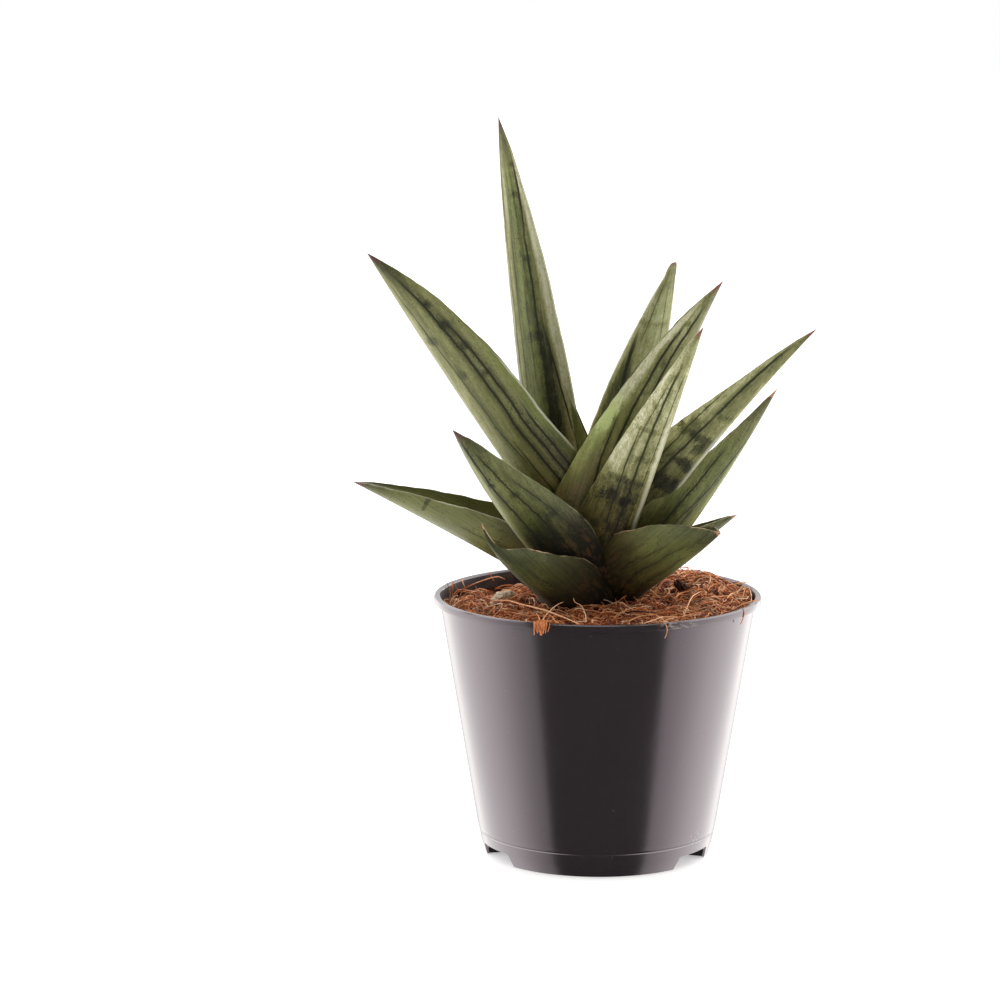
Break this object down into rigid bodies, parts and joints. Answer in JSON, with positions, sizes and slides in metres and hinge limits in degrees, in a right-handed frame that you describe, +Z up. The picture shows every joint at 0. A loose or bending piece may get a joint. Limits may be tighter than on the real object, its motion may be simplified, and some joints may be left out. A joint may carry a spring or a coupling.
{
  "type": "potted dwarf helios snake plant",
  "caption": "Rosette of stiff boat-shaped grey-green leaves with dark stripes, in a round dark nursery pot filled with loose coir.",
  "frame": {"origin": "centre of the pot's standing pad, on the ground", "axes": "+Z up along the pot's axis, +X to the viewer's right, -Y towards the viewer of the picture"},
  "size_m": [0.167, 0.1381, 0.2692],
  "materials": {
    "pot_plastic": "thin moulded dark anthracite plastic, satin to glossy",
    "coir": "loose orange-tan coconut fibre",
    "stem_flesh": "fleshy rootstock",
    "leaf": "stiff fleshy leaf, sage green with dark lengthwise lines, waxy",
    "bark": "dark bark chip",
    "pumice": "dry pale crumb"
  },
  "bodies": {
    "root": {"pot": "pot_plastic", "coir_substrate": "coir", "stem": "stem_flesh", "leaf_spike": "leaf", "leaf_back_right": "leaf", "leaf_left_long": "leaf", "leaf_right_upper": "leaf", "leaf_tall": "leaf", "leaf_right_long": "leaf", "leaf_front_pale": "leaf", "leaf_left_mid": "leaf", "leaf_right_mid": "leaf", "leaf_back_mid": "leaf", "leaf_right_low": "leaf", "leaf_left_low": "leaf", "leaf_back_right_low": "leaf", "leaf_back_left_low": "leaf", "leaf_front_right_low": "leaf", "leaf_front_left_low": "leaf", "bark_chip": "bark", "pale_fragment_left": "pumice", "pale_fragment_right": "pumice"}
  },
  "joints": []
}
